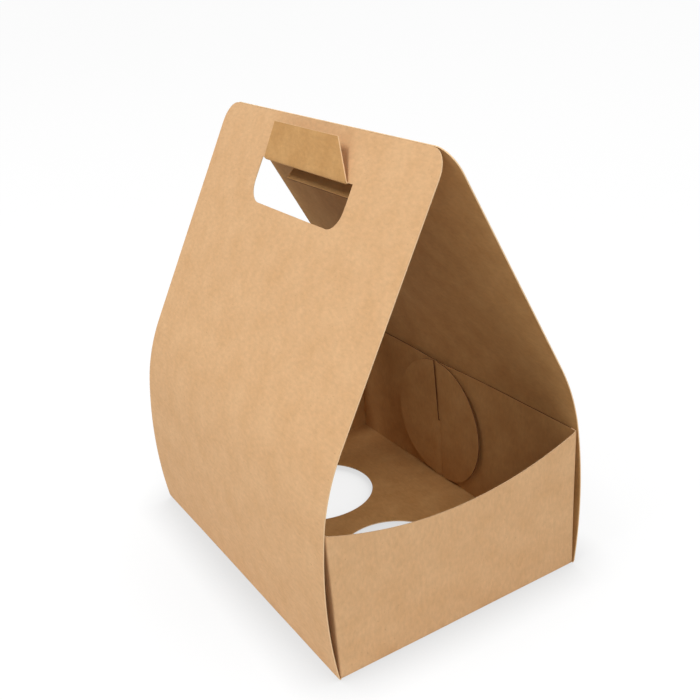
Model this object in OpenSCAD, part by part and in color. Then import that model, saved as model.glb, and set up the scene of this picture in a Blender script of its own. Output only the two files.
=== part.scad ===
// Two-cup carrier folded from one die-cut sheet of kraft board, without glue.
// Floor at z = 0, tall panels at -x and +x, tray ends at -y and +y, ridge along y.

/* [Tray] */
// Width of the floor between the folds of the tall panels
base_w = 150; // [110:1:200]
// Length of the floor along the row of cups
base_l = 206; // [180:1:260]
// Height of the tray ends at their corners
rim_h = 81; // [60:1:95]
// How far the rim of a tray end dips in the middle
rim_dip = 14; // [4:1:24]
// Thickness of the board
board = 0.6; // [0.4:0.1:1]
// Gap left between sheets that lie against each other
fit = 0.4; // [0.3:0.1:0.8]

/* [Tall panels] */
// Height of the ridge where the two panels meet
ridge_h = 238; // [200:1:280]
// How far a panel bulges between the floor and the rim
panel_bow = 3; // [1:0.5:6]
// How far a panel stands outside the floor's edge at the rim
rim_out = 1; // [0.5:0.1:3]
// Bend radius of a panel above the rim
shoulder_r = 115; // [60:1:160]
// Radius of the panels' top corners
corner_r = 11; // [4:1:25]

/* [Cup holes] */
// Diameter of the holes that hold the cups
cup_d = 68; // [50:1:80]
// Distance between the centres of the two holes
cup_pitch = 87; // [84:1:105]

/* [Handle] */
// Length of the hand holes along the ridge
hand_w = 90; // [70:1:120]
// Height of the hand holes
hand_h = 21; // [16:1:30]
// Height of the grip strip between the hand hole and the ridge
grip_h = 22; // [16:1:30]
// Radius of the hand holes' lower corners
hand_r = 10; // [3:1:14]
// Length of the flaps that are cut out of the hand holes
flap_up = 20; // [10:1:24]
// Angle at which the near panel's flap stands off its grip strip
flap_lift = 18; // [8:1:30]
// How much narrower a flap is than the hand hole, at each side
flap_gap = 4; // [0.5:0.5:6]
// How much a flap narrows towards its free edge, at each side
flap_taper = 10; // [0:0.5:12]
// Angle at which the far panel's flap droops into the arch
flap_droop = 28; // [15:1:45]

/* [Tab locks] */
// How far the crossing of the side tabs lies from mid-length
lock_off = 12; // [0:1:25]
// Width of the slits in which the tabs cross
slit_w = 3; // [2:0.5:6]

/* [Hidden] */
arc_fn = 240;
hole_fn = 120;

// Tall panel section: a bow arc from the floor fold to the rim, a shoulder arc, a straight run.
fold_p = [base_w / 2, board / 2];
rim_p = [base_w / 2 + rim_out, rim_h];
top_p = [0.6 * board + fit / 2, ridge_h];
bow_v = rim_p - fold_p;
bow_len = norm(bow_v);
bow_n = [bow_v[1], -bow_v[0]] / bow_len;
bow_r = (bow_len * bow_len / 4 + panel_bow * panel_bow) / (2 * panel_bow);
bow_c = (fold_p + rim_p) / 2 - bow_n * (bow_r - panel_bow);
bow_a0 = atan2(fold_p[1] - bow_c[1], fold_p[0] - bow_c[0]);
bow_a1 = atan2(rim_p[1] - bow_c[1], rim_p[0] - bow_c[0]);
shoulder_c = rim_p - shoulder_r * [cos(bow_a1), sin(bow_a1)];
// The straight run is the tangent from the ridge to the shoulder arc.
ridge_v = top_p - shoulder_c;
slope = atan2(ridge_v[1], ridge_v[0]) - acos(shoulder_r / norm(ridge_v));
// The arc stops a little short of the tangent point, so that it ends in a clean edge.
arc_end = slope - 0.3;
run_d = [-sin(slope), cos(slope)];

// Tray ends and their tabs stand just inside the tall panels.
tray_x = base_w / 2 - board / 2 - fit;
tab_z = board + fit;
tab_mid = (tab_z + rim_h) / 2;
tip_r = (rim_h - tab_z) / 2;
layer = board + fit;
rim_r = (tray_x * tray_x + rim_dip * rim_dip) / (2 * rim_dip);

// Handle: both flaps are pushed towards -x. The near one turns up outside its grip strip.
grip_z = ridge_h - grip_h;
function panel_x(z) = top_p[0] + (ridge_h - z) * tan(slope);
flap_in = [-panel_x(grip_z), grip_z];
flap_out = flap_in - [(board + fit) / cos(slope), 0];
flap_a = 90 - slope + flap_lift;
flap_len = min(flap_up, hand_h / cos(slope) - 2 * board);
flap_end = flap_out + flap_len * [cos(flap_a), sin(flap_a)];
flap_w = hand_w - 2 * flap_gap;
droop_in = [panel_x(grip_z), grip_z];
droop_end = droop_in - flap_len * [cos(flap_droop), sin(flap_droop)];
past = 20;

// Slice of a disc about c, between two angles.
module sector(c, r, a0, a1) {
    reach = 1.2 * r;
    translate(c)
        intersection() {
            circle(r = r, $fn = arc_fn);
            polygon([[0, 0], reach * [cos(a0), sin(a0)], reach * [cos(a1), sin(a1)]]);
        }
}

// All that lies inside one face of the +x panel, d being that face's distance from the mid-surface.
module inside_of(d, z0) {
    bow_d = [cos(bow_a1), sin(bow_a1)];
    fold_d = [cos(bow_a0), sin(bow_a0)];
    end_d = [cos(arc_end), sin(arc_end)];
    tip = top_p + d * [cos(slope), sin(slope)] + past * run_d;
    intersection() {
        union() {
            polygon([
                [-past, 0],
                [base_w / 2, 0],
                fold_p + d * fold_d,
                rim_p + d * bow_d,
                shoulder_c + (shoulder_r + d) * end_d,
                tip,
                [-past, tip[1]]
            ]);
            sector(bow_c, bow_r + d, bow_a0, bow_a1);
            sector(shoulder_c, shoulder_r + d, bow_a1, arc_end);
        }
        translate([0, z0])
            square([base_w, ridge_h + past]);
    }
}

// Strip of board thickness from p over a fold at k to q.
module folded_strip(p, k, q) {
    d1 = (k - p) / norm(k - p);
    d2 = (q - k) / norm(q - k);
    n1 = board / 2 * [-d1[1], d1[0]];
    n2 = board / 2 * [-d2[1], d2[0]];
    mitre = (n1 + n2) / (1 + d1 * d2);
    polygon([p + n1, k + mitre, q + n2, q - n2, k - mitre, p - n1]);
}

// Section of half the floor and one tall panel, up to the ridge.
module half_section() {
    difference() {
        inside_of(board / 2, 0);
        inside_of(-board / 2, board);
        translate([-1, board])
            square([1 + fit / 2, ridge_h + past]);
    }
}

// Shape drawn in the y-z plane, carried along x from x0 over a length.
module across(x0, len) {
    translate([x0, 0, 0])
        rotate([90, 0, 90])
            linear_extrude(height = len)
                children();
}

// Shape drawn in the x-z plane, carried along y by a length about the middle.
module along(len) {
    rotate([90, 0, 0])
        linear_extrude(height = len, center = true)
            children();
}

// Hand hole outline in the y-z plane: square top, rounded lower corners.
module hand_outline() {
    translate([-hand_w / 2, grip_z - hand_h + hand_r])
        square([hand_w, hand_h - hand_r]);
    translate([-hand_w / 2 + hand_r, grip_z - hand_h])
        square([hand_w - 2 * hand_r, hand_h]);
    for (s = [-1, 1])
        translate([s * (hand_w / 2 - hand_r), grip_z - hand_h + hand_r])
            circle(r = hand_r, $fn = hole_fn);
}

// What is cut off to round the panels' top corners, and above the ridge.
module top_cut() {
    translate([-base_l, ridge_h])
        square([2 * base_l, past]);
    for (s = [-1, 1])
        translate([s * (base_l / 2 - corner_r), ridge_h - corner_r])
            difference() {
                translate([s > 0 ? 0 : -corner_r - past, 0])
                    square([corner_r + past, corner_r + past]);
                circle(r = corner_r, $fn = hole_fn);
            }
}

// Floor and both tall panels, bent from one strip of the sheet.
module floor_and_panels() {
    difference() {
        along(base_l) {
            half_section();
            mirror([1, 0])
                half_section();
            translate([-base_w / 4, 0])
                square([base_w / 2, board]);
        }
        across(-base_w, 2 * base_w)
            top_cut();
        across(-base_w / 2, base_w)
            hand_outline();
        for (s = [-1, 1])
            translate([0, s * cup_pitch / 2, -1])
                cylinder(d = cup_d, h = board + 2, $fn = hole_fn);
    }
}

// Strip of board thickness from p straight to q.
module straight_strip(p, q) {
    d = (q - p) / norm(q - p);
    n = board / 2 * [-d[1], d[0]];
    polygon([p + n, q + n, q - n, p - n]);
}

// Side view of a flap that narrows evenly from its fold at z0 to its free edge at z1.
module flap_outline(z0, z1) {
    s = z1 > z0 ? board : -board;
    polygon([
        [-flap_w / 2, z0 - s],
        [flap_w / 2, z0 - s],
        [flap_w / 2, z0 + s],
        [flap_w / 2 - flap_taper, z1 + s],
        [flap_taper - flap_w / 2, z1 + s],
        [-flap_w / 2, z0 + s]
    ]);
}

// The near panel's flap, folded out at the top of its hand hole and turned up outside.
module near_flap() {
    intersection() {
        along(flap_w)
            folded_strip(flap_in, flap_out, flap_end);
        across(-base_w / 2, base_w / 2)
            flap_outline(grip_z, flap_end[1]);
    }
}

// The far panel's flap, pushed in and drooping under the ridge.
module far_flap() {
    intersection() {
        along(flap_w)
            straight_strip(droop_in, droop_end);
        across(-base_w / 2, base_w)
            flap_outline(grip_z, droop_end[1]);
    }
}

// Side tab of a tray end on the +x side, from y0 to its rounded tip past the crossing at y1.
// The tab runs outside, crosses inwards through its neck and ends on the inside.
module side_tab(y0, y1, neck_low) {
    neck_z = neck_low ? tab_z : tab_mid + fit / 2;
    neck_h = tip_r - fit / 2;
    translate([tray_x - board, y0, tab_z])
        cube([board, y1 - slit_w / 2 - y0, rim_h - tab_z]);
    translate([0, y1, neck_z])
        linear_extrude(height = neck_h)
            polygon([
                [tray_x - board, -slit_w / 2],
                [tray_x, -slit_w / 2],
                [tray_x - layer, slit_w / 2],
                [tray_x - layer - board, slit_w / 2]
            ]);
    across(tray_x - layer - board, board)
        intersection() {
            translate([y1, tab_mid])
                circle(r = tip_r, $fn = hole_fn);
            translate([y1 + slit_w / 2, 0])
                square([tip_r, rim_h + 1]);
        }
}

// One tray end at -y with its dipped rim, its long tab at +x and its short tab at -x.
module tray_end() {
    difference() {
        translate([-tray_x, -base_l / 2, 0])
            cube([2 * tray_x, board, rim_h]);
        translate([0, -base_l / 2 - 1, rim_h - rim_dip + rim_r])
            rotate([-90, 0, 0])
                cylinder(r = rim_r, h = board + 2, $fn = arc_fn);
    }
    side_tab(-base_l / 2, lock_off, true);
    mirror([1, 0, 0])
        side_tab(-base_l / 2, -lock_off, false);
}

module carrier() {
    color("#c69c6d") {
        floor_and_panels();
        near_flap();
        far_flap();
        for (a = [0, 180])
            rotate([0, 0, a])
                tray_end();
    }
}

carrier();
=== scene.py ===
"""Looks of the folded kraft cup carrier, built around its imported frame.

The carrier is drawn as the flat blank it was cut from, in millimetres, and every point of that
blank is then folded to its place. Flat coordinates are u, across the carrier, and v, along it.
"""

import logging
import math
from dataclasses import dataclass, field
from enum import Enum

import bpy
from mathutils import Matrix, Vector
from mathutils.geometry import delaunay_2d_cdt
from mathutils.kdtree import KDTree


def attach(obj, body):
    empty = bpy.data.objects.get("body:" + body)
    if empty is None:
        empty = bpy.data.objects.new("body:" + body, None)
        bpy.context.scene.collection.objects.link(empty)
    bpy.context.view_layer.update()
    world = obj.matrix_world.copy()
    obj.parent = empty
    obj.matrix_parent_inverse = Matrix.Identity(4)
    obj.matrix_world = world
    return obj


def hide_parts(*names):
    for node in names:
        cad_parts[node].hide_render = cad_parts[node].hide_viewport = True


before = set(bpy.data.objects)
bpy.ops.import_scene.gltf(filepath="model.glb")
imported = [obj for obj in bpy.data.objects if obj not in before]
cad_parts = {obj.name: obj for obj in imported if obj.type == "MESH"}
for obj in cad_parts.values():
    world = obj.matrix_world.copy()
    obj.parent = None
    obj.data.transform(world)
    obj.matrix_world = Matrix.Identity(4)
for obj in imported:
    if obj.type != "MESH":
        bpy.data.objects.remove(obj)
LOG = logging.getLogger("carrier")
MM = 0.001
SIDES = (-1, 1)
FLAT_UV = "flat"
# Name of the mark on points whose cut edges get painted shade.
SHADED = "shaded"
WHITE = (1.0, 1.0, 1.0, 1.0)
# Width of the cut that frees the floor's long edges from the tray ends, in millimetres.
NOTCH = 0.2
# Distance under which two flat points count as one place, in millimetres.
NEAR = 0.01
# Distances under which points are made one, on the flat blank in millimetres and folded in metres.
FLAT_MERGE = 1e-4
FOLDED_MERGE = 1e-6
# Steps of the round stretches.
HOLE_STEPS = 96
RIM_STEPS = 48
TIP_STEPS = 40
HAND_CORNER_STEPS = 12
TOP_CORNER_STEPS = 10
Point = tuple[float, float]


class Face(Enum):
    """Kinds of surface on the sheet, by the name of the input that takes their material."""

    BOARD = "Board"
    INSIDE = "Inside"
    CUT_EDGE = "Cut Edge"
    SHADED_EDGE = "Shaded Edge"


@dataclass(frozen=True)
class Sizes:
    """Driving sizes of the carrier, in millimetres and degrees.

    They are those of the part's source, but for the slits, which are drawn narrower.
    """

    base_w: float = 150.0
    base_l: float = 206.0
    rim_h: float = 81.0
    rim_dip: float = 14.0
    board: float = 0.6
    fit: float = 0.4
    ridge_h: float = 238.0
    panel_bow: float = 3.0
    rim_out: float = 1.0
    shoulder_r: float = 115.0
    corner_r: float = 11.0
    cup_d: float = 68.0
    cup_pitch: float = 87.0
    hand_w: float = 90.0
    hand_h: float = 21.0
    grip_h: float = 22.0
    hand_r: float = 10.0
    flap_up: float = 20.0
    flap_lift: float = 18.0
    flap_gap: float = 4.0
    flap_taper: float = 10.0
    flap_droop: float = 28.0
    lock_off: float = 12.0
    slit_w: float = 2.4


@dataclass(frozen=True)
class KraftFinish:
    """Uncoated kraft board: unbleached fibre that was pressed flat and left bare.

    Attributes:
        mid: Common tone of the board.
        light: Tone of its paler clouds.
        dark: Tone of its darker clouds.
        fleck: Tone of the specks of bark.
        edge: Tone of the bare fibre where the die has cut.
        shaded_edge: Tone of the cut edges deep in the tray, darker than the board: painted shade.
        roughness: Roughness of bare paper.
        gloss: Specular level, low because open fibre scatters the light.
        mottle_mm: Size of the clouds.
        mottle_span: Noise values at which the clouds reach their darkest and palest.
        fibre_mm: Width of the fibres, drawn far coarser than real ones so that they show.
        fibre_span: Noise values at which the fibres reach their darkest and palest.
        fibre_tone: Darkest and palest factor of the fibres.
        fleck_mm: Spacing of the specks.
        fleck_span: Noise values between which a speck fades in.
        fleck_depth: How strongly a speck covers the board.
        grain: How much longer the fibres are along the grain than across it.
        relief_mm: Height of the fibres.
        relief: Strength of that relief.
    """

    mid: str = "#d6ab7d"
    light: str = "#dab082"
    dark: str = "#d2a677"
    fleck: str = "#9c6f41"
    edge: str = "#e8c599"
    # Painted shade on the cut edges deep in the tray.
    shaded_edge: str = "#7a5230"
    roughness: float = 0.82
    gloss: float = 0.25
    mottle_mm: float = 16.0
    mottle_span: Point = (0.3, 0.7)
    fibre_mm: float = 1.8
    fibre_span: Point = (0.32, 0.68)
    fibre_tone: Point = (0.92, 1.07)
    fleck_mm: float = 2.6
    fleck_span: Point = (0.68, 0.76)
    fleck_depth: float = 0.3
    grain: float = 2.2
    relief_mm: float = 0.02
    relief: float = 0.6


# Painted shade: the inside of the board is drawn browner and darker than the outside, so that the
# inside of the tray looks duller.
INSIDE_PAINTED_SHADE = KraftFinish(mid="#c6975f", light="#cd9f67", dark="#bf8f57", fleck="#8a6338")


@dataclass(frozen=True)
class CameraFit:
    """Camera found from the photograph's outlines: lengths in metres, angles in degrees."""

    focal_px: float = 963.75
    yaw: float = -30.476
    pitch: float = 23.537
    roll: float = 4.538
    position: tuple[float, float, float] = (-0.240173, -0.417354, 0.323571)
    image_px: float = 700.0


@dataclass(frozen=True)
class Lamp:
    """A square soft light.

    Attributes:
        name: Name of the light.
        place: Where it stands, in metres.
        size: Side of the square, in metres.
        power: Power in watts.
    """

    name: str
    place: tuple[float, float, float]
    size: float
    power: float


def linear(hex_colour: str) -> tuple[float, float, float, float]:
    """Linear RGBA of an sRGB hex colour.

    Args:
        hex_colour: Colour such as "#d8ac7c".

    Returns:
        Red, green, blue and alpha for a shader socket.
    """
    parts = [int(hex_colour[i : i + 2], 16) / 255 for i in (1, 3, 5)]
    rgb = [c / 12.92 if c <= 0.04045 else ((c + 0.055) / 1.055) ** 2.4 for c in parts]
    return rgb[0], rgb[1], rgb[2], 1.0


def smooth(t: float) -> float:
    """Smooth step from 0 to 1.

    Args:
        t: Position, clamped to 0 to 1.

    Returns:
        The eased value.
    """
    t = min(1.0, max(0.0, t))
    return t * t * (3 - 2 * t)


def bent(q: float, soft: float) -> Point:
    """Place along a right-angled fold whose corner is eased.

    Args:
        q: Distance along the sheet from the fold line, negative before it.
        soft: Distance on each side of the line over which the sheet bends.

    Returns:
        Distance along the first leg, up to 0, and along the second leg.
    """
    if q <= -soft:
        return q, 0.0
    if q >= soft:
        return 0.0, q
    t = (q + soft) / (2 * soft)
    return -soft * (1 - t) ** 2, soft * t * t


def evenly(low: float, high: float, n: int) -> list[float]:
    """Values at even steps.

    Args:
        low: First value.
        high: Last value.
        n: Number of steps.

    Returns:
        The values from low to high.
    """
    return [low + (high - low) * i / n for i in range(n + 1)]


def arc_points(centre: Point, rx: float, ry: float, a0: float, a1: float, n: int) -> list[Point]:
    """Points on an elliptic arc.

    Args:
        centre: Middle of the ellipse.
        rx: Half axis along the first coordinate.
        ry: Half axis along the second coordinate.
        a0: First angle, in degrees.
        a1: Last angle, in degrees.
        n: Number of steps.

    Returns:
        The points from a0 to a1.
    """
    steps = [math.radians(a) for a in evenly(a0, a1, n)]
    return [(centre[0] + rx * math.cos(a), centre[1] + ry * math.sin(a)) for a in steps]


def add_node(
    tree: bpy.types.NodeTree,
    kind: str,
    links: dict[str | int, object] | None = None,
    **settings: object,
) -> bpy.types.Node:
    """Adds one node to a tree.

    Args:
        tree: Shader or geometry tree.
        kind: Node type.
        links: Input socket name or index to an output socket or a plain value.
        settings: Node properties.

    Returns:
        The new node.
    """
    node = tree.nodes.new(kind)
    for name, value in settings.items():
        setattr(node, name, value)
    for key, value in (links or {}).items():
        socket = node.inputs[key]
        if isinstance(value, bpy.types.NodeSocket):
            tree.links.new(value, socket)
        else:
            socket.default_value = value
    return node


@dataclass
class PanelSection:
    """Section of a tall panel: a bow arc up to the rim, a shoulder arc, a straight run.

    Attributes:
        sizes: Driving sizes.
        length: Length of the panel from the floor fold to the ridge.
        slope: Angle of the straight run from the upright.
    """

    sizes: Sizes
    length: float = field(init=False)
    slope: float = field(init=False)

    def __post_init__(self) -> None:
        """Finds the arcs and the tangent that joins them to the ridge."""
        s = self.sizes
        self.fold = Vector((s.base_w / 2, s.board / 2))
        rim = Vector((s.base_w / 2 + s.rim_out, s.rim_h))
        top = Vector((0.6 * s.board + s.fit / 2, s.ridge_h))
        chord = rim - self.fold
        across = Vector((chord.y, -chord.x)).normalized()
        self.bow_r = (chord.length_squared / 4 + s.panel_bow**2) / (2 * s.panel_bow)
        self.bow_c = (self.fold + rim) / 2 - across * (self.bow_r - s.panel_bow)
        self.a0 = math.atan2(*(self.fold - self.bow_c).yx)
        self.a1 = math.atan2(*(rim - self.bow_c).yx)
        self.turn_c = rim - s.shoulder_r * Vector((math.cos(self.a1), math.sin(self.a1)))
        away = top - self.turn_c
        self.slope = math.atan2(away.y, away.x) - math.acos(s.shoulder_r / away.length)
        self.out = Vector((math.cos(self.slope), math.sin(self.slope)))
        self.run = Vector((-math.sin(self.slope), math.cos(self.slope)))
        self.leave = self.turn_c + s.shoulder_r * self.out
        self.bow_len = self.bow_r * (self.a1 - self.a0)
        self.turn_len = s.shoulder_r * (self.slope - self.a1)
        self.length = self.bow_len + self.turn_len + (top - self.leave).length
        self.stretch = 1 / math.cos(self.slope)

    def point(self, s: float) -> Vector:
        """Point of the section.

        Args:
            s: Distance from the floor fold along the panel.

        Returns:
            Place across and above the floor.
        """
        if s < self.bow_len:
            a = self.a0 + s / self.bow_r
            return self.bow_c + self.bow_r * Vector((math.cos(a), math.sin(a)))
        s -= self.bow_len
        if s < self.turn_len:
            a = self.a1 + s / self.sizes.shoulder_r
            return self.turn_c + self.sizes.shoulder_r * Vector((math.cos(a), math.sin(a)))
        return self.leave + (s - self.turn_len) * self.run

    def at_height(self, z: float) -> float:
        """Distance along the panel at which its straight run reaches a height.

        Args:
            z: Height above the floor.

        Returns:
            Distance from the floor fold.
        """
        return self.length - (self.sizes.ridge_h - z) / math.cos(self.slope)


@dataclass
class HandleFlap:
    """A flap cut out of a panel's hand hole and pushed towards the near side.

    The near panel's flap folds out and turns up outside its grip strip. The far panel's flap
    folds in and droops under the ridge.

    Attributes:
        sizes: Driving sizes.
        section: Section of the tall panels.
        bend_r: Radius of the fold.
    """

    sizes: Sizes
    section: PanelSection
    bend_r: float = 0.65

    def __post_init__(self) -> None:
        """Finds the fold and the free edge."""
        s, p = self.sizes, self.section
        self.hinge = p.at_height(s.ridge_h - s.grip_h)
        self.start = p.point(self.hinge)
        self.turn_near = math.pi - math.radians(s.flap_lift)
        self.turn_far = math.pi / 2 + p.slope - math.radians(s.flap_droop)
        self.bend_len = self.bend_r * self.turn_near
        self.length = self.bend_len + s.flap_up
        self.half = s.hand_w / 2 - s.flap_gap

    def half_width(self, q: float) -> float:
        """Half width of the flap.

        Args:
            q: Distance from the hinge along the flap.

        Returns:
            Distance from the middle to the side edge.
        """
        straight = max(0.0, (q - self.bend_len) / self.sizes.flap_up)
        return self.half - self.sizes.flap_taper * straight

    def point(self, q: float, near: bool) -> Vector:
        """Point of the flap's section.

        Args:
            q: Distance from the hinge along the flap.
            near: Whether the flap is the near panel's.

        Returns:
            Place away from the ridge and above the floor.
        """
        out, down = self.section.out, -self.section.run
        turn = self.turn_near if near else -self.turn_far
        radius = math.copysign(self.bend_r, turn)
        spin = Matrix.Rotation(math.copysign(min(q / self.bend_r, abs(turn)), turn), 2)
        rest = max(0.0, q - self.bend_r * abs(turn))
        return self.start + radius * out - radius * (spin @ out) + rest * (spin @ down)

    def outline(self) -> list[Point]:
        """Cut line of the flap from one end of its hinge to the other.

        Returns:
            Points as distance along the panel and place along the carrier.
        """
        lengths = (0.0, self.bend_len, self.length)
        right = [(self.hinge - q, self.half_width(q)) for q in lengths]
        return right + [(d, -v) for d, v in reversed(right)]


@dataclass
class Blank:
    """The flat die-cut sheet and how it folds up.

    Attributes:
        sizes: Driving sizes.
        soft: Distance on each side of a fold over which the board bends.
        step: Spacing of the points inside the sheet.
        keep_off: Distance that those points keep from the cut lines.
        fold_clear: Distance that the even grid keeps from the folds.
        floor_rise: How far the springy floor arches up in its middle.
        tip_splay: How far the tips of the side tabs spring off the wall.
        rim_flare: How far the tray spreads at its rim until it touches the tall panels.
        slit_lean: How much wider the upper slits are at the rim than at their foot.
        lock_pull: How far the crossing pulls the tabs' rim off the tall panels.
        pull_reach: Distance from the crossing over which that pull fades.
        cross_half: Half the length in which a tab changes layers, in slit widths.
        shade_from: How far past its folds, across and up, a tab's cut edge gets the painted shade.
    """

    sizes: Sizes
    soft: float = 1.1
    step: float = 4.0
    keep_off: float = 0.9
    fold_clear: float = 2.0
    floor_rise: float = 4.0
    tip_splay: float = 2.0
    rim_flare: float = 1.1
    slit_lean: float = 2.2
    lock_pull: float = 1.6
    pull_reach: float = 24.0
    cross_half: float = 0.7
    shade_from: Point = (1.0, 0.5)

    def __post_init__(self) -> None:
        """Finds the fold lines, the tabs and the handle."""
        s = self.sizes
        self.panel = PanelSection(s)
        self.flap = HandleFlap(s, self.panel)
        self.half_u = s.base_w / 2
        self.half_v = s.base_l / 2
        self.end_v = self.half_v - s.board / 2
        self.tab_u = self.half_u - s.board - s.fit
        self.tab_z = s.board + s.fit
        self.mid_z = (self.tab_z + s.rim_h) / 2
        self.tip_r = (s.rim_h - self.tab_z) / 2
        self.half_slit = s.slit_w / 2
        self.low_neck = self.mid_z - s.fit / 2
        self.high_neck = self.mid_z + s.fit / 2
        self.reach = self.half_u + self.panel.length

    def rim(self, u: float) -> float:
        """Height of a tray end's rim.

        Args:
            u: Place across the end.

        Returns:
            Height above the floor.
        """
        s = self.sizes
        half = self.tab_u + s.board / 2
        r = (half * half + s.rim_dip**2) / (2 * s.rim_dip)
        return s.rim_h - s.rim_dip + r - math.sqrt(max(0.0, r * r - u * u))

    def lock(self, u: float, v: float) -> tuple[float, bool]:
        """Crossing of a side tab.

        Args:
            u: Place on the tab, for its side.
            v: Place on the tab, for its end.

        Returns:
            Distance from the tab's fold to the crossing, and whether its neck is the lower one.
        """
        long_tab = u * v < 0
        return self.end_v + (self.sizes.lock_off if long_tab else -self.sizes.lock_off), long_tab

    def up_the_slit(self, z: float) -> float:
        """Share of an upper slit's height that lies below a point.

        Args:
            z: Height above the floor.

        Returns:
            0 at the foot of the slit and 1 at the end of the tip's round.
        """
        top = self.mid_z + math.sqrt(self.tip_r**2 - (self.half_slit + self.slit_lean) ** 2)
        return (z - self.low_neck) / (top - self.low_neck)

    def hand_outline(self) -> list[Point]:
        """Outline of a hand hole on a panel, from one upper corner round to the other.

        Returns:
            Points as distance along the panel and place along the carrier.
        """
        s = self.sizes
        rx = s.hand_r * self.panel.stretch
        up = self.flap.hinge
        low = up - (s.hand_h - s.hand_r) * self.panel.stretch
        half = s.hand_w / 2 - s.hand_r
        left = arc_points((low, -half), rx, s.hand_r, 270, 180, HAND_CORNER_STEPS)
        right = arc_points((low, half), rx, s.hand_r, 180, 90, HAND_CORNER_STEPS)
        return [(up, -s.hand_w / 2), *left, *right, (up, s.hand_w / 2)]

    def in_hand_hole(self, d: float, v: float) -> bool:
        """Whether a point of a panel lies in its hand hole.

        Args:
            d: Distance along the panel.
            v: Place along the carrier.

        Returns:
            True inside the hole.
        """
        s = self.sizes
        below = (self.flap.hinge - d) * math.cos(self.panel.slope)
        if not (0 < below < s.hand_h and abs(v) < s.hand_w / 2):
            return False
        dz, dv = below - s.hand_h + s.hand_r, abs(v) - s.hand_w / 2 + s.hand_r
        return not (dz > 0 and dv > 0 and math.hypot(dz, dv) > s.hand_r)

    def on_flap(self, d: float, v: float, slack: float = 0.0) -> bool:
        """Whether a point of a panel lies on its handle flap.

        Args:
            d: Distance along the panel.
            v: Place along the carrier.
            slack: How far outside the flap still counts.

        Returns:
            True on the flap.
        """
        q = self.flap.hinge - d
        return 0 <= q < self.flap.length + slack and abs(v) < self.flap.half_width(q) + slack

    def inside(self, u: float, v: float) -> bool:
        """Whether a flat point belongs to the sheet.

        Args:
            u: Place across the blank.
            v: Place along the blank.

        Returns:
            True on the board.
        """
        au, av = abs(u), abs(v)
        if av <= (self.half_v if au > self.tab_u + NOTCH else self.end_v):
            return self._inside_strip(u, v)
        z = self.sizes.board / 2 + av - self.end_v
        if au <= self.tab_u:
            return z < self.rim(u)
        if not self.tab_z < z < self.sizes.rim_h:
            return False
        lock, low = self.lock(u, v)
        d = au - self.tab_u - lock
        if abs(d) < self.half_slit:
            return z < self.low_neck if low else z > self.high_neck
        if low and 0 < d < self.half_slit + self.slit_lean * self.up_the_slit(z):
            return False
        return d < 0 or math.hypot(d, z - self.mid_z) < self.tip_r

    def _inside_strip(self, u: float, v: float) -> bool:
        """Whether a point within the strip of floor and tall panels belongs to the sheet.

        Args:
            u: Place across the blank.
            v: Place along the blank.

        Returns:
            True on the board.
        """
        s = self.sizes
        au, av = abs(u), abs(v)
        if au < self.half_u:
            return math.hypot(u, av - s.cup_pitch / 2) > s.cup_d / 2
        d = au - self.half_u
        below = (self.panel.length - d) * math.cos(self.panel.slope)
        if below < 0:
            return False
        dz, dv = s.corner_r - below, av - (self.half_v - s.corner_r)
        if dz > 0 and dv > 0 and math.hypot(dz, dv) > s.corner_r:
            return False
        return self.on_flap(d, v) or not self.in_hand_hole(d, v)

    def outlines(self) -> list[list[Point]]:
        """Every line along which the blank is cut.

        Returns:
            Lines of flat points, each one open or closed on itself.
        """
        s = self.sizes
        lines: list[list[Point]] = []
        for side in SIDES:
            for end in SIDES:
                lines.append([(side * u, end * v) for u, v in self._panel_outline()])
                lines.append(self._tab_outline(side, end))
        for end in SIDES:
            r = s.cup_d / 2
            lines.append(arc_points((0, end * s.cup_pitch / 2), r, r, 0, 360, HOLE_STEPS))
            base = self.end_v - s.board / 2
            across = evenly(-self.tab_u, self.tab_u, RIM_STEPS)
            lines.append([(u, end * (base + self.rim(u))) for u in across])
        hand = self.hand_outline()
        cut = [*hand, *self.flap.outline(), hand[0]]
        return lines + [[(side * (self.half_u + d), v) for d, v in cut] for side in SIDES]

    def _panel_outline(self) -> list[Point]:
        """Cut line of a quarter of the tall panels.

        Returns:
            Flat points from the foot of a tab up the panel's edge to the middle of the ridge.
        """
        r = self.sizes.corner_r
        rx = r * self.panel.stretch
        corner = arc_points((self.reach - rx, self.half_v - r), rx, r, 90, 0, TOP_CORNER_STEPS)
        notch = self.tab_u + NOTCH
        foot = [(self.tab_u, self.end_v), (notch, self.end_v), (notch, self.half_v)]
        return [*foot, (self.half_u, self.half_v), *corner, (self.reach, 0.0)]

    def _tab_outline(self, side: int, end: int) -> list[Point]:
        """Cut line of one side tab.

        Args:
            side: -1 or 1 for the side of the carrier.
            end: -1 or 1 for its end.

        Returns:
            Flat points from the tab's foot round its tip to the rim.
        """
        s = self.sizes
        lock, low = self.lock(side, end)
        h, r = self.half_slit, self.tip_r
        a = math.degrees(math.acos(h / r))
        b = math.degrees(math.acos((h + self.slit_lean) / r)) if low else a
        tip = arc_points((lock, self.mid_z), r, r, -a, b, TIP_STEPS)
        foot, head = (lock - h, self.tab_z), (lock - h, s.rim_h)
        if low:
            lower = [foot, (lock + h, self.tab_z), tip[0]]
            upper = [tip[-1], (lock + h, self.low_neck), (lock - h, self.low_neck), head]
        else:
            lower = [foot, (lock - h, self.high_neck), (lock + h, self.high_neck), tip[0]]
            upper = [tip[-1], (lock + h, s.rim_h), head]
        start = [(0.0, s.board / 2), (0.0, self.tab_z)]
        line = [*start, *lower, *tip[1:-1], *upper, (0.0, s.rim_h)]
        base = self.end_v - s.board / 2
        return [(side * (self.tab_u + d), end * (base + z)) for d, z in line]

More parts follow.
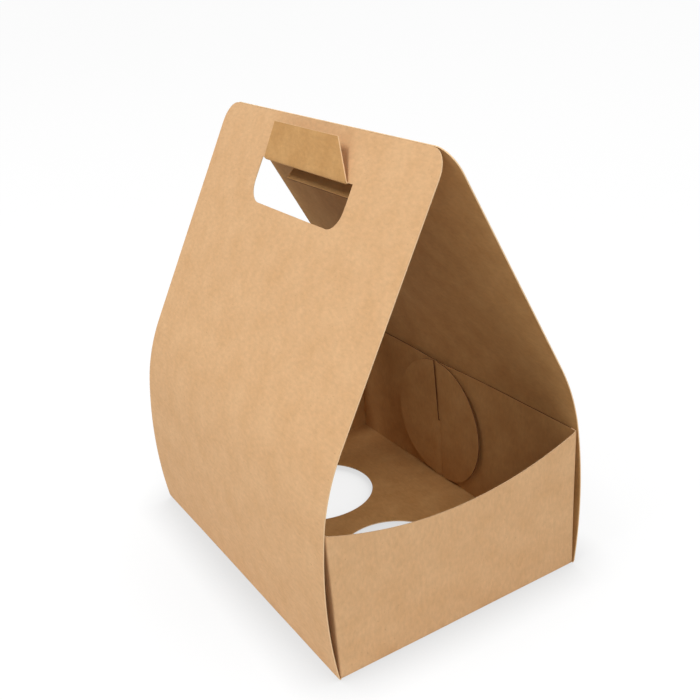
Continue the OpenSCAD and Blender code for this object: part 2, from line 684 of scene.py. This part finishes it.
    def inner_points(self) -> list[Point]:
        """Points inside the sheet that let it bend smoothly.

        Returns:
            Flat points on an even grid and beside every fold.
        """
        rows = evenly(-self.half_v, self.half_v, round(2 * self.half_v / self.step))
        cols = evenly(-self.reach, self.reach, round(2 * self.reach / self.step))
        n_z = round(self.sizes.rim_h / self.step)
        heights = [self.sizes.rim_h * (i + 0.5) / n_z for i in range(n_z)]
        beside = [self.soft * k / 2 for k in (-2, -1, 0, 1, 2)]
        bend = [self.half_u + self.flap.hinge - self.flap.bend_len * k / 4 for k in range(5)]
        off_panel_fold = [u for u in cols if abs(abs(u) - self.half_u) > self.fold_clear]
        off_tab_fold = [u for u in cols if abs(abs(u) - self.tab_u) > self.fold_clear]
        points = [(u, v) for u in off_panel_fold for v in rows]
        for end in SIDES:
            points += [(u, end * (self.end_v + z)) for u in off_tab_fold for z in heights]
            points += [(end * (self.half_u + d), v) for v in rows for d in beside]
            points += [
                (u, end * (self.end_v + d)) for u in cols for d in beside if abs(u) < self.tab_u
            ]
            points += [
                (side * (self.tab_u + d), end * (self.end_v + z))
                for z in heights
                for d in beside
                for side in SIDES
            ]
            points += [(end * u, v) for v in rows for u in bend]
        return points

    def place(self, u: float, v: float) -> Vector:
        """Folded place of a flat point.

        Args:
            u: Place across the blank.
            v: Place along the blank.

        Returns:
            Place of the board's mid-surface in the carrier, in millimetres.
        """
        s = self.sizes
        au, av = abs(u), abs(v)
        if au > self.tab_u + NOTCH / 2 and av <= self.half_v + NEAR:
            return self._place_panel(u, v)
        along, up = bent(av - self.end_v, self.soft)
        side, turned = au - self.tab_u, 0.0
        if av > self.end_v + NOTCH:
            side, turned = bent(side, self.soft)
        spread = 1 + self.rim_flare / self.tab_u * (up / s.rim_h) ** 2
        x = (self.tab_u + side) * spread - self._tab_inset(u, v, turned, up)
        y = self.end_v + along - turned
        arch_u = max(0.0, 1 - (u / self.half_u) ** 2)
        arch_v = max(0.0, 1 - (v / self.end_v) ** 2)
        rise = self.floor_rise * arch_u * arch_v
        return Vector((x if u >= 0 else -x, y if v >= 0 else -y, s.board / 2 + up + rise))

    def _tab_inset(self, u: float, v: float, turned: float, up: float) -> float:
        """How far a side tab stands inside the plane of its foot.

        Args:
            u: Place across the blank, for the tab's side.
            v: Place along the blank, for its end.
            turned: Distance from the tab's fold.
            up: Height above the floor.

        Returns:
            Distance towards the middle of the carrier.
        """
        s = self.sizes
        lock, _ = self.lock(u, v)
        past = turned - lock
        half = self.cross_half * s.slit_w
        inset = (s.board + s.fit) * smooth((past + half) / (2 * half))
        inset += self.tip_splay * smooth(past / self.tip_r)
        fade = math.exp(-((past / self.pull_reach) ** 2)) if turned > 0 else 0.0
        return inset + self.lock_pull * fade * (up / s.rim_h) ** 2

    def _place_panel(self, u: float, v: float) -> Vector:
        """Folded place of a point on a tall panel, a handle flap or the floor's long edges.

        Args:
            u: Place across the blank.
            v: Place along the blank.

        Returns:
            Place of the board's mid-surface in the carrier, in millimetres.
        """
        d = abs(u) - self.half_u
        side = 1 if u >= 0 else -1
        if self.on_flap(d, v, NEAR):
            p = self.flap.point(self.flap.hinge - d, side < 0)
        elif d < self.soft:
            t = (d + self.soft) / (2 * self.soft)
            start = Vector((self.half_u - self.soft, self.panel.fold.y))
            end = self.panel.point(self.soft)
            p = start * (1 - t) ** 2 + self.panel.fold * 2 * t * (1 - t) + end * t * t
        else:
            p = self.panel.point(d)
        return Vector((side * p.x, v, p.y))

    def shaded(self, u: float, v: float) -> bool:
        """Whether a flat point lies where its cut edge gets the painted shade.

        Args:
            u: Place across the blank.
            v: Place along the blank.

        Returns:
            True on the side tabs and on the far panel's handle flap.
        """
        across, up = self.shade_from
        if abs(u) > self.tab_u + across and abs(v) > self.end_v + up:
            return True
        return u > 0 and self.on_flap(u - self.half_u, v, NEAR)

    def _cut_lines(self) -> tuple[list[Point], list[tuple[int, int]]]:
        """The blank's outlines as fine steps.

        Returns:
            Flat points, and the pairs of them that a cut joins.
        """
        points: list[Point] = []
        edges: list[tuple[int, int]] = []
        for line in self.outlines():
            fine = [line[0]]
            for a, b in zip(line, line[1:]):
                n = max(1, round(math.dist(a, b) / self.step))
                fine += list(zip(evenly(a[0], b[0], n), evenly(a[1], b[1], n)))[1:]
            first = len(points)
            edges += [(first + i, first + i + 1) for i in range(len(fine) - 1)]
            points += fine
        return points, edges

    def mesh(self, name: str) -> bpy.types.Mesh:
        """Folded mid-surface of the sheet.

        Args:
            name: Name of the mesh.

        Returns:
            A mesh in metres with its flat coordinates as a UV map and the edges for painted shade
            marked.
        """
        points, edges = self._cut_lines()
        tree = KDTree(len(points))
        for i, (u, v) in enumerate(points):
            tree.insert((u, v, 0), i)
        tree.balance()
        inner = {p for p in self.inner_points() if self.inside(*p)}
        clear = sorted(p for p in inner if tree.find((*p, 0))[2] > self.keep_off)
        flat = [Vector(p) for p in points + clear]
        verts, _, faces, *_ = delaunay_2d_cdt(flat, edges, [], 0, FLAT_MERGE)
        middles = [sum((verts[i] for i in f), Vector((0, 0))) / 3 for f in faces]
        kept = [f for f, middle in zip(faces, middles) if self.inside(*middle)]
        used = sorted({i for f in kept for i in f})
        index = {old: new for new, old in enumerate(used)}
        folded = [self.place(*verts[i]) * MM for i in used]
        mesh = bpy.data.meshes.new(name)
        mesh.from_pydata(folded, [], [[index[i] for i in f] for f in kept])
        uv = mesh.uv_layers.new(name=FLAT_UV)
        for loop in mesh.loops:
            uv.data[loop.index].uv = verts[used[loop.vertex_index]] * MM
        shaded = mesh.attributes.new(SHADED, "BOOLEAN", "POINT")
        shaded.data.foreach_set("value", [self.shaded(*verts[i]) for i in used])
        mesh.polygons.foreach_set("use_smooth", [True] * len(mesh.polygons))
        LOG.info("flat blank: %d triangles", len(kept))
        return mesh


@dataclass
class KraftBoard:
    """Materials of the board and of its cut edges.

    Attributes:
        finish: Colours and grain of the outside.
        shaded_inside: Colours and grain of the inside, drawn duller as painted shade.
    """

    finish: KraftFinish
    shaded_inside: KraftFinish

    def _shader(self, name: str) -> tuple[bpy.types.Material, bpy.types.NodeTree, bpy.types.Node]:
        """New material with one principled shader.

        Args:
            name: Name of the material.

        Returns:
            The material, its tree and its shader.
        """
        material = bpy.data.materials.new(name)
        material.use_nodes = True
        tree = material.node_tree
        tree.nodes.clear()
        matt = {"Roughness": self.finish.roughness, "Specular IOR Level": self.finish.gloss}
        shader = add_node(tree, "ShaderNodeBsdfPrincipled", matt)
        add_node(tree, "ShaderNodeOutputMaterial", {"Surface": shader.outputs["BSDF"]})
        return material, tree, shader

    def board(self, name: str, f: KraftFinish) -> bpy.types.Material:
        """Tan uncoated board with soft mottling, fibres along the grain and a few dark flecks.

        Args:
            name: Name of the material.
            f: Colours and grain of that side of the board.

        Returns:
            The material.
        """
        material, tree, shader = self._shader(name)
        flat = add_node(tree, "ShaderNodeUVMap", uv_map=FLAT_UV).outputs["UV"]
        stretch = {"Vector": flat, "Scale": (f.grain, 1, 1)}
        along = add_node(tree, "ShaderNodeMapping", stretch).outputs["Vector"]
        # Clouds where the pulp settled thicker or thinner.
        clouds = {"Vector": flat, "Scale": 1 / (f.mottle_mm * MM), "Detail": 5.0, "Roughness": 0.6}
        mottle = add_node(tree, "ShaderNodeTexNoise", clouds)
        base = add_node(tree, "ShaderNodeValToRGB", {"Fac": mottle.outputs["Fac"]})
        first, last = base.color_ramp.elements
        first.position, last.position = f.mottle_span
        first.color, last.color = linear(f.dark), linear(f.light)
        base.color_ramp.elements.new(sum(f.mottle_span) / 2).color = linear(f.mid)
        # Fibres give the board its fine grain and its dull, slightly rough surface.
        per_metre = 1 / (f.fibre_mm * f.grain * MM)
        hairs = {"Vector": along, "Scale": per_metre, "Detail": 6.0, "Roughness": 0.65}
        fibre = add_node(tree, "ShaderNodeTexNoise", hairs).outputs["Fac"]
        low, high = f.fibre_span
        dim, bright = f.fibre_tone
        toned = {"Value": fibre, 1: low, 2: high, 3: dim, 4: bright}
        tone = add_node(tree, "ShaderNodeMapRange", toned).outputs["Result"]
        product = {0: base.outputs["Color"], 1: tone}
        grained = add_node(tree, "ShaderNodeVectorMath", product, operation="MULTIPLY")
        # Specks of bark that the pulping left.
        specks = {"Vector": along, "Scale": 1 / (f.fleck_mm * MM), "Detail": 2.0}
        cells = add_node(tree, "ShaderNodeTexNoise", specks).outputs["Fac"]
        low, high = f.fleck_span
        fading = {"Value": cells, 1: low, 2: high, 3: 0.0, 4: f.fleck_depth}
        spots = add_node(tree, "ShaderNodeMapRange", fading).outputs["Result"]
        mixed = {0: spots, 6: grained.outputs["Vector"], 7: linear(f.fleck)}
        flecked = add_node(tree, "ShaderNodeMix", mixed, data_type="RGBA")
        tree.links.new(flecked.outputs[2], shader.inputs["Base Color"])
        raised = {"Height": fibre, "Distance": f.relief_mm * MM, "Strength": f.relief}
        bump = add_node(tree, "ShaderNodeBump", raised)
        tree.links.new(bump.outputs["Normal"], shader.inputs["Normal"])
        return material

    def cut_edge(self, name: str, colour: str) -> bpy.types.Material:
        """Bare fibre of the die-cut edges, too thin to show any grain.

        Args:
            name: Name of the material.
            colour: Colour of the fibre, or a darker one that is painted shade.

        Returns:
            The material.
        """
        material, _, shader = self._shader(name)
        shader.inputs["Base Color"].default_value = linear(colour)
        return material

    def materials(self) -> dict[Face, bpy.types.Material]:
        """Every material of the sheet.

        Returns:
            Material of each kind of surface.
        """
        return {
            Face.BOARD: self.board("kraft_board", self.finish),
            # The inside of the board is drawn darker: painted shade.
            Face.INSIDE: self.board("kraft_inside", self.shaded_inside),
            Face.CUT_EDGE: self.cut_edge("kraft_cut_edge", self.finish.edge),
            # Painted shade for the cut edges deep in the tray.
            Face.SHADED_EDGE: self.cut_edge("kraft_shaded_edge", self.finish.shaded_edge),
        }


@dataclass
class Carrier:
    """The folded carrier as one thick sheet.

    Attributes:
        blank: The flat sheet.
        board: Its materials.
        wave_mm: How far the board wanders from its true form.
        wave_length_mm: Size of those waves.
        crease: Angle past which an edge is shaded as sharp, in degrees.
    """

    blank: Blank
    board: KraftBoard
    wave_mm: float = 0.35
    wave_length_mm: float = 70.0
    crease: float = 45.0

    def thick_tree(self) -> bpy.types.NodeTree:
        """Geometry Nodes that give the sheet its thickness, its slight waves and its cut edges.

        Returns:
            The node group.
        """
        tree = bpy.data.node_groups.new("thick_sheet", "GeometryNodeTree")
        sockets = tree.interface
        sockets.new_socket("Geometry", in_out="INPUT", socket_type="NodeSocketGeometry")
        for name in ("Thickness", "Wave", "Wave Length"):
            sockets.new_socket(name, in_out="INPUT", socket_type="NodeSocketFloat")
        for kind in Face:
            sockets.new_socket(kind.value, in_out="INPUT", socket_type="NodeSocketMaterial")
        sockets.new_socket("Geometry", in_out="OUTPUT", socket_type="NodeSocketGeometry")
        given = add_node(tree, "NodeGroupInput").outputs
        thickness = given["Thickness"]
        moved = self._waved(tree, given)
        grown = {"Mesh": moved, "Offset Scale": thickness, "Individual": False}
        solid = add_node(tree, "GeometryNodeExtrudeMesh", grown).outputs
        # Cut edges on the tabs and the far flap get a darker material: painted shade.
        deep = add_node(
            tree, "GeometryNodeInputNamedAttribute", {"Name": SHADED}, data_type="BOOLEAN"
        )
        both_true = {0: solid["Side"], 1: deep.outputs["Attribute"]}
        painted_shade_edges = add_node(tree, "FunctionNodeBooleanMath", both_true).outputs[0]
        sheet = solid["Mesh"]
        # The inside faces take the darker board, painted shade.
        for kind, part in (
            (Face.INSIDE, True),
            (Face.CUT_EDGE, solid["Side"]),
            (Face.SHADED_EDGE, painted_shade_edges),
        ):
            dress = {"Geometry": sheet, "Selection": part, "Material": given[kind.value]}
            sheet = add_node(tree, "GeometryNodeSetMaterial", dress).outputs["Geometry"]
        back = add_node(tree, "GeometryNodeFlipFaces", {"Mesh": moved}).outputs["Mesh"]
        dress = {"Geometry": back, "Material": given[Face.BOARD.value]}
        backed = add_node(tree, "GeometryNodeSetMaterial", dress).outputs["Geometry"]
        both = add_node(tree, "GeometryNodeJoinGeometry")
        tree.links.new(sheet, both.inputs[0])
        tree.links.new(backed, both.inputs[0])
        merge = {"Geometry": both.outputs["Geometry"], "Distance": FOLDED_MERGE}
        closed = add_node(tree, "GeometryNodeMergeByDistance", merge).outputs["Geometry"]
        real = add_node(tree, "GeometryNodeRealizeInstances", {"Geometry": closed})
        add_node(tree, "NodeGroupOutput", {"Geometry": real.outputs["Geometry"]})
        return tree

    def _waved(
        self, tree: bpy.types.NodeTree, given: bpy.types.bpy_prop_collection
    ) -> bpy.types.NodeSocket:
        """Moves the mid-surface to the board's outside, along slight waves.

        Args:
            tree: The node group.
            given: Outputs of its group input.

        Returns:
            The moved sheet.
        """
        normal = add_node(tree, "GeometryNodeInputNormal").outputs["Normal"]
        one_per = {0: 1.0, 1: given["Wave Length"]}
        scale = add_node(tree, "ShaderNodeMath", one_per, operation="DIVIDE").outputs[0]
        noise = add_node(tree, "ShaderNodeTexNoise", {"Scale": scale, "Detail": 1.0})
        less_half = {0: noise.outputs["Fac"], 1: 0.5}
        centred = add_node(tree, "ShaderNodeMath", less_half, operation="SUBTRACT").outputs[0]
        times = {0: centred, 1: given["Wave"]}
        wave = add_node(tree, "ShaderNodeMath", times, operation="MULTIPLY").outputs[0]
        to_outside = {0: given["Thickness"], 1: -0.5, 2: wave}
        start = add_node(tree, "ShaderNodeMath", to_outside, operation="MULTIPLY_ADD").outputs[0]
        along = {0: normal, "Scale": start}
        shift = add_node(tree, "ShaderNodeVectorMath", along, operation="SCALE").outputs["Vector"]
        move = {"Geometry": given["Geometry"], "Offset": shift}
        return add_node(tree, "GeometryNodeSetPosition", move).outputs["Geometry"]

    def build(self) -> bpy.types.Object:
        """Builds the carrier.

        Returns:
            The sheet as a plain mesh object at the origin.
        """
        sheet = bpy.data.objects.new("carrier_sheet", self.blank.mesh("carrier_mid"))
        bpy.context.scene.collection.objects.link(sheet)
        tree = self.thick_tree()
        modifier = sheet.modifiers.new("thick_sheet", "NODES")
        modifier.node_group = tree
        values = {
            "Thickness": self.blank.sizes.board * MM,
            "Wave": self.wave_mm * MM,
            "Wave Length": self.wave_length_mm * MM,
            **{kind.value: material for kind, material in self.board.materials().items()},
        }
        for item in tree.interface.items_tree:
            if item.in_out == "INPUT" and item.name in values:
                modifier[item.identifier] = values[item.name]
        depsgraph = bpy.context.evaluated_depsgraph_get()
        evaluated = sheet.evaluated_get(depsgraph)
        mesh = bpy.data.meshes.new_from_object(evaluated, depsgraph=depsgraph)
        sheet.modifiers.clear()
        sheet.data = mesh
        mesh.name = "carrier_sheet"
        mesh.set_sharp_from_angle(angle=math.radians(self.crease))
        LOG.info("sheet: %d faces", len(mesh.polygons))
        return sheet


@dataclass
class Studio:
    """White floor, soft light and the photograph's camera.

    Attributes:
        camera: Camera found from the photograph.
        lamps: Soft lights.
        aim: What the lights point at, in metres.
        world_light: How strongly the surroundings light the carrier.
        floor_half: Half the side of the floor, in metres.
        floor_drop: How far the floor lies under the carrier's own, in metres.
        floor_paper: Colour of the floor for the light that it throws back.
        floor_tone: Colour of the floor where it is seen, dark because it also glows there.
        floor_glow: Glow of the floor where it is seen, far from the carrier and under it, where it
            is lower as painted shade.
        glow_span: Distances from the middle between which that glow rises, in metres.
        contact_mm: How far the painted soft shadow at the foot of the carrier reaches.
        contact: Share of the glow that is left where that shadow is deepest.
        sky_span: Shares of open sky between which that shadow fades.
    """

    camera: CameraFit
    lamps: tuple[Lamp, ...] = (
        Lamp("key", (-1.5, 0.1, 2.2), 1.0, 36.0),
        Lamp("front", (-0.2, -1.4, 1.5), 0.8, 16.5),
    )
    aim: tuple[float, float, float] = (0, 0, 0.1)
    world_light: float = 0.27
    floor_half: float = 40.0
    floor_drop: float = 0.0006
    floor_paper: str = "#f4f4f4"
    floor_tone: str = "#505050"
    floor_glow: Point = (0.945, 0.86)
    glow_span: Point = (0.08, 0.16)
    contact_mm: float = 25.0
    contact: float = 0.8
    sky_span: Point = (0.5, 1.0)

    def floor(self) -> bpy.types.Object:
        """Pale floor under the carrier.

        Returns:
            The floor.
        """
        h = self.floor_half
        corners = [(-h, -h, 0), (h, -h, 0), (h, h, 0), (-h, h, 0)]
        mesh = bpy.data.meshes.new("floor")
        mesh.from_pydata(corners, [], [(0, 1, 2, 3)])
        mesh.materials.append(self.floor_white())
        floor = bpy.data.objects.new("floor", mesh)
        floor.location.z = -self.floor_drop
        bpy.context.scene.collection.objects.link(floor)
        return floor

    def _shown(self, tree: bpy.types.NodeTree) -> bpy.types.NodeSocket:
        """Tells rays that show a surface from those that only carry its light.

        Args:
            tree: Shader tree of the floor or of the world.

        Returns:
            1 for camera, glossy and transmission rays, 0 for all others.
        """
        ray = add_node(tree, "ShaderNodeLightPath").outputs
        either = {0: ray["Is Camera Ray"], 1: ray["Is Glossy Ray"]}
        seen = add_node(tree, "ShaderNodeMath", either, operation="MAXIMUM").outputs[0]
        either = {0: seen, 1: ray["Is Transmission Ray"]}
        return add_node(tree, "ShaderNodeMath", either, operation="MAXIMUM").outputs[0]

    def floor_white(self) -> bpy.types.Material:
        """White paper that looks bright and even, with a painted soft shadow at the carrier's foot
        and painted shade under it.

        Returns:
            The material.
        """
        material = bpy.data.materials.new("floor_white")
        material.use_nodes = True
        tree = material.node_tree
        shader = tree.nodes["Principled BSDF"]
        shader.inputs["Roughness"].default_value = 1.0
        shader.inputs["Specular IOR Level"].default_value = 0.0
        shader.inputs["Emission Color"].default_value = WHITE
        shown = self._shown(tree)
        tones = {0: shown, 6: linear(self.floor_paper), 7: linear(self.floor_tone)}
        tone = add_node(tree, "ShaderNodeMix", tones, data_type="RGBA")
        tree.links.new(tone.outputs[2], shader.inputs["Base Color"])
        # Painted shade: the glow is lower under the carrier and rises away from it.
        place = add_node(tree, "ShaderNodeNewGeometry").outputs["Position"]
        away = add_node(tree, "ShaderNodeVectorMath", {0: place}, operation="LENGTH")
        far, under = self.floor_glow
        near, wide = self.glow_span
        rising = {"Value": away.outputs["Value"], 1: near, 2: wide, 3: under, 4: far}
        glow = add_node(tree, "ShaderNodeMapRange", rising).outputs["Result"]
        # Painted shadow: ambient occlusion dims the glow at the carrier's foot.
        reach = {"Distance": self.contact_mm * MM}
        open_sky = add_node(tree, "ShaderNodeAmbientOcclusion", reach).outputs["AO"]
        closed, clear = self.sky_span
        fading = {"Value": open_sky, 1: closed, 2: clear, 3: self.contact, 4: 1.0}
        foot = add_node(tree, "ShaderNodeMapRange", fading).outputs["Result"]
        shine = add_node(tree, "ShaderNodeMath", {0: glow, 1: foot}, operation="MULTIPLY")
        only_seen = {0: shine.outputs[0], 1: shown}
        glowing = add_node(tree, "ShaderNodeMath", only_seen, operation="MULTIPLY")
        tree.links.new(glowing.outputs[0], shader.inputs["Emission Strength"])
        return material

    def light(self, lamp: Lamp) -> bpy.types.Object:
        """Square soft light.

        Args:
            lamp: Its place, size and power.

        Returns:
            The light.
        """
        data = bpy.data.lights.new(lamp.name, "AREA")
        data.shape, data.size, data.energy = "SQUARE", lamp.size, lamp.power
        light = bpy.data.objects.new(lamp.name, data)
        light.location = lamp.place
        ahead = Vector(self.aim) - Vector(lamp.place)
        light.rotation_euler = ahead.to_track_quat("-Z", "Y").to_euler()
        bpy.context.scene.collection.objects.link(light)
        return light

    def world(self) -> bpy.types.World:
        """Even surroundings that look as white as the floor.

        Returns:
            The world.
        """
        world = bpy.data.worlds.new("studio")
        world.use_nodes = True
        tree = world.node_tree
        back = tree.nodes["Background"]
        back.inputs["Color"].default_value = WHITE
        strength = {"Value": self._shown(tree), 3: self.world_light, 4: self.floor_glow[0]}
        white = add_node(tree, "ShaderNodeMapRange", strength)
        tree.links.new(white.outputs["Result"], back.inputs["Strength"])
        bpy.context.scene.world = world
        return world

    def shoot(self) -> bpy.types.Object:
        """Camera of the photograph.

        Returns:
            The camera.
        """
        c = self.camera
        yaw, pitch, roll = (math.radians(a) for a in (c.yaw, c.pitch, c.roll))
        flat = Vector((-math.sin(yaw), math.cos(yaw), 0))
        right = Vector((math.cos(yaw), math.sin(yaw), 0))
        ahead = flat * math.cos(pitch) - Vector((0, 0, math.sin(pitch)))
        down = -flat * math.sin(pitch) - Vector((0, 0, math.cos(pitch)))
        r = right * math.cos(roll) + down * math.sin(roll)
        d = down * math.cos(roll) - right * math.sin(roll)
        data = bpy.data.cameras.new("camera")
        data.sensor_width = 36.0
        data.lens = data.sensor_width * c.focal_px / c.image_px
        data.clip_start, data.clip_end = 0.01, 200.0
        camera = bpy.data.objects.new("camera", data)
        turn = Matrix((r, -d, -ahead)).transposed().to_4x4()
        camera.matrix_world = Matrix.Translation(c.position) @ turn
        bpy.context.scene.collection.objects.link(camera)
        bpy.context.scene.camera = camera
        return camera

    def build(self) -> None:
        """Sets up the floor, the lights and the camera."""
        self.floor()
        for lamp in self.lamps:
            self.light(lamp)
        self.world()
        self.shoot()
        bpy.context.scene.view_settings.view_transform = "Standard"
        LOG.info("studio: floor, %d lights and camera", len(self.lamps))


def main() -> None:
    """Builds the carrier and its studio."""
    logging.basicConfig(level=logging.INFO, format="%(name)s: %(message)s")
    sheet = Carrier(Blank(Sizes()), KraftBoard(KraftFinish(), INSIDE_PAINTED_SHADE)).build()
    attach(sheet, "root")
    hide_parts("carrier")
    Studio(CameraFit()).build()


if __name__ == "__main__":
    main()
